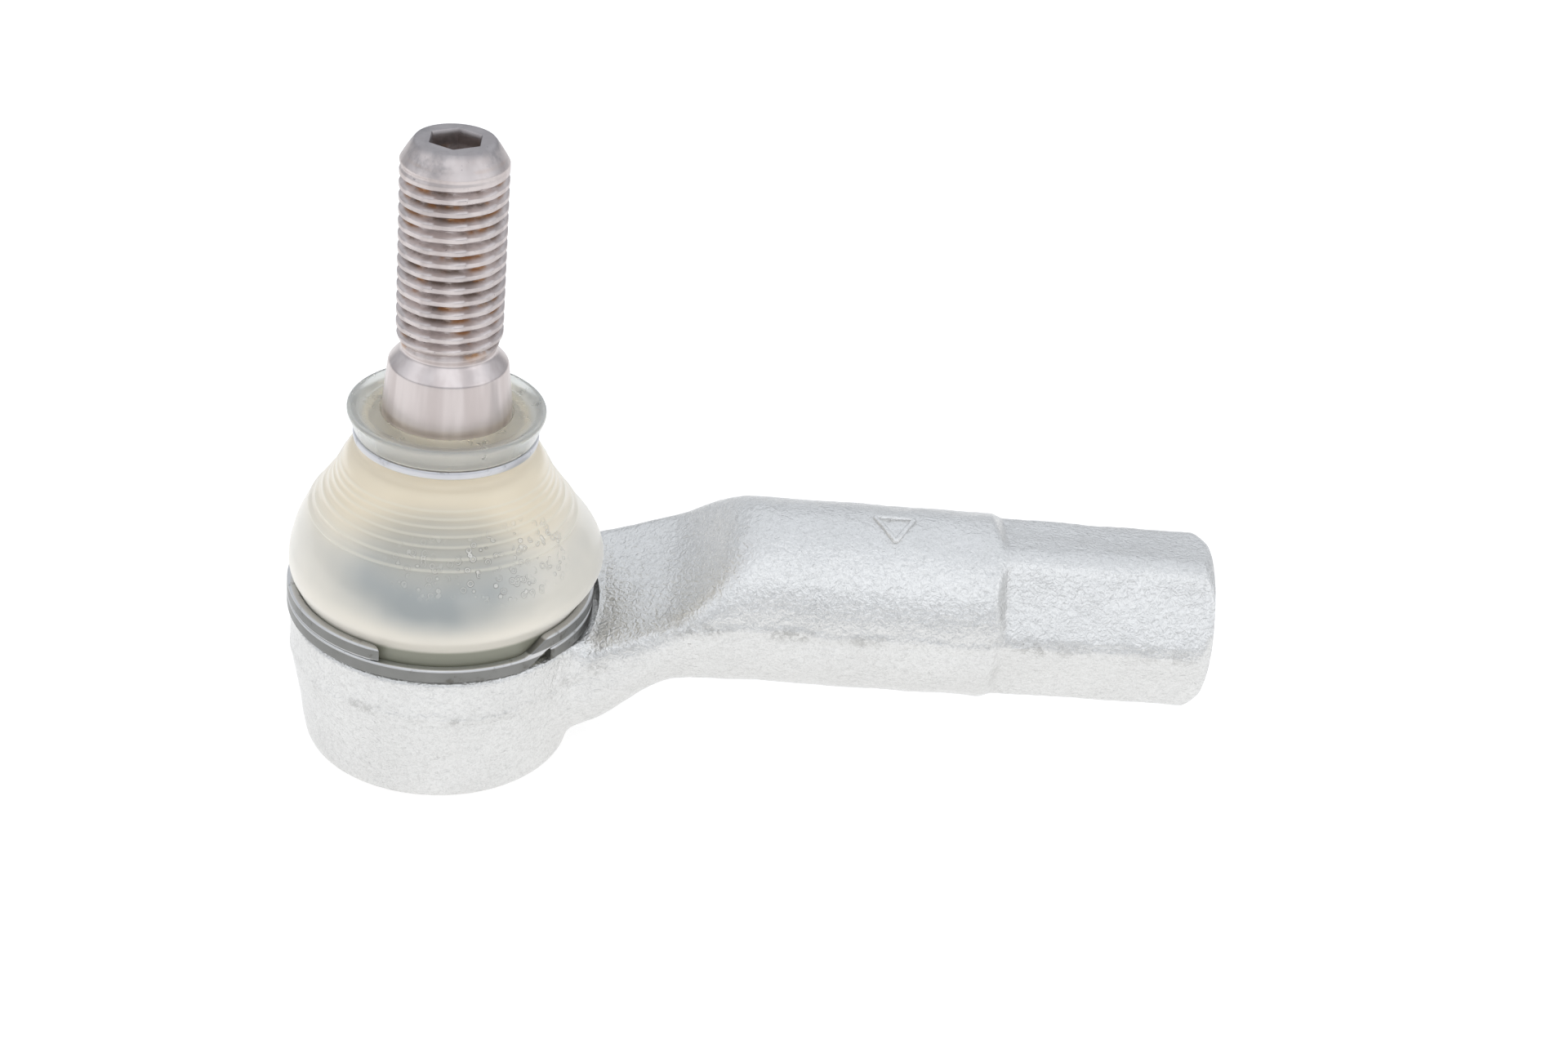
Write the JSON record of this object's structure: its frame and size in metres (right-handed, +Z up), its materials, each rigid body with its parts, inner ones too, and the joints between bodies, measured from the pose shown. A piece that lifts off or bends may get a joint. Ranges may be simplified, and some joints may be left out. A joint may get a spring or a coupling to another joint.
{
  "type": "tie rod end",
  "caption": "Steering tie rod end: a tapered, threaded ball stud swivelling in a forged housing with an offset female-threaded hexagon shank and a clear sealing boot.",
  "frame": {"origin": "centre of the closing plate's underside, where the stud axis leaves the housing", "axes": "+Z up the stud to its threaded end; +X along the shank to its open threaded end; the shank axis lies 3 mm to +Y of the stud axis and 20.5 mm above the origin"},
  "size_m": [0.109, 0.0366, 0.076],
  "materials": {
    "zinc_forging": "zinc plated forging, shot blasted, matt",
    "plate_steel": "pressed steel, rolled in",
    "acetal": "moulded acetal, greased",
    "stud_steel": "turned and rolled steel, satin",
    "boot_elastomer": "clear moulded elastomer, satin",
    "collar_plastic": "clear moulded plastic, glossy",
    "ring_steel": "bright spring steel",
    "wire_steel": "flat spring wire, dull grey",
    "grease": "translucent amber grease"
  },
  "bodies": {
    "housing": {"housing": "zinc_forging", "closing_plate": "plate_steel", "bearing_shell": "acetal", "lower_clamp_ring": "wire_steel"},
    "boot": {"boot": "boot_elastomer", "grease_pack": "grease"},
    "collar": {"boot_collar": "collar_plastic", "upper_clamp_ring": "ring_steel"},
    "stud": {"ball_stud": "stud_steel"}
  },
  "joints": [
    {"name": "swing_direction", "type": "hinge", "parent": "housing", "child": "boot", "pos_m": [0, 0, 0.014], "axis": [0, 0, 1], "continuous": true},
    {"name": "stud_tilt", "type": "hinge", "parent": "boot", "child": "collar", "pos_m": [0, 0, 0.014], "axis": [0, 1, 0], "range_deg": [-25, 25], "deforming": ["boot", "grease_pack"]},
    {"name": "stud_spin", "type": "hinge", "parent": "collar", "child": "stud", "pos_m": [0, 0, 0.014], "axis": [0, 0, 1], "continuous": true}
  ]
}
